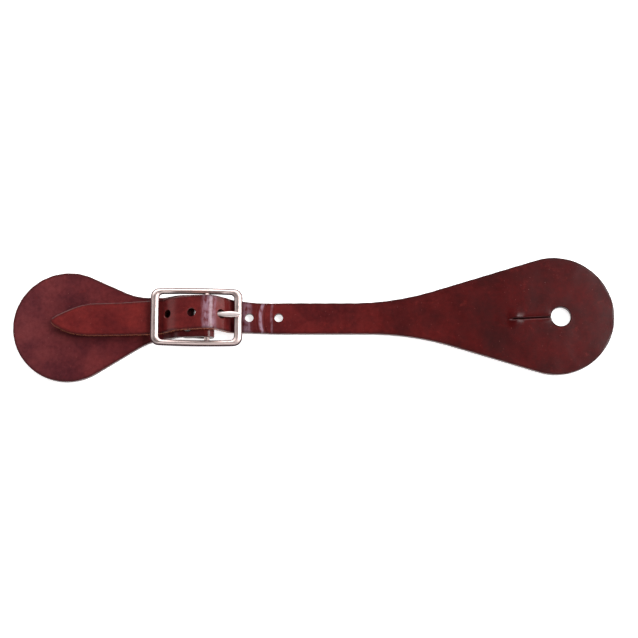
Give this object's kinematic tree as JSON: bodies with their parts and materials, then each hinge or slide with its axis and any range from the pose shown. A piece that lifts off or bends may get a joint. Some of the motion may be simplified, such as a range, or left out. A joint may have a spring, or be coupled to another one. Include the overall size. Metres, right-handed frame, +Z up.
{
  "type": "spur strap",
  "caption": "Leather spur strap for a western spur: a long strap with a button lobe, buckled to a short buckle strap with a second button lobe.",
  "frame": {"origin": "bottom centre of the bounding box, on the surface that the strap lies on", "axes": "+X along the strap from the buckle strap's lobe to the long strap's lobe, +Y across it, +Z up, towards the grain side"},
  "size_m": [0.3057, 0.0643, 0.0141],
  "materials": {
    "strap_leather": "oiled, burnished oxblood grain with raw cut edges",
    "buckle_nickel": "bright nickel plate",
    "screw_nickel": "plain nickel plate"
  },
  "bodies": {
    "strap": {"billet": "strap_leather", "long_neck": "strap_leather", "fold": "strap_leather", "buckle_ear": "strap_leather", "post_right": "screw_nickel", "post_left": "screw_nickel", "screw_right": "screw_nickel", "screw_left": "screw_nickel"},
    "long_end": {"long_lobe": "strap_leather"},
    "short_end": {"short_lobe": "strap_leather"},
    "buckle": {"buckle_frame": "buckle_nickel", "centre_bar": "buckle_nickel"},
    "buckle_tongue": {"tongue": "buckle_nickel"}
  },
  "joints": [
    {"name": "neck_flex", "type": "hinge", "parent": "strap", "child": "long_end", "pos_m": [0.005, 0.00025, 0.0015], "axis": [0, 1, 0], "range_deg": [-20, 80], "stiffness_Nm_per_rad": 0.075, "deforming": ["long_neck"]},
    {"name": "ear_flex", "type": "hinge", "parent": "strap", "child": "short_end", "pos_m": [-0.094, -0.002, 0.0015], "axis": [0, -1, 0], "range_deg": [0, 60], "stiffness_Nm_per_rad": 0.2, "deforming": ["buckle_ear"]},
    {"name": "buckle_swing", "type": "hinge", "parent": "strap", "child": "buckle", "pos_m": [-0.054, 0, 0.007], "axis": [0, 1, 0], "range_deg": [-2, 3]},
    {"name": "tongue_swing", "type": "hinge", "parent": "buckle", "child": "buckle_tongue", "pos_m": [-0.054, 0.0013, 0.007], "axis": [0, -1, 0], "range_deg": [0, 6]}
  ]
}
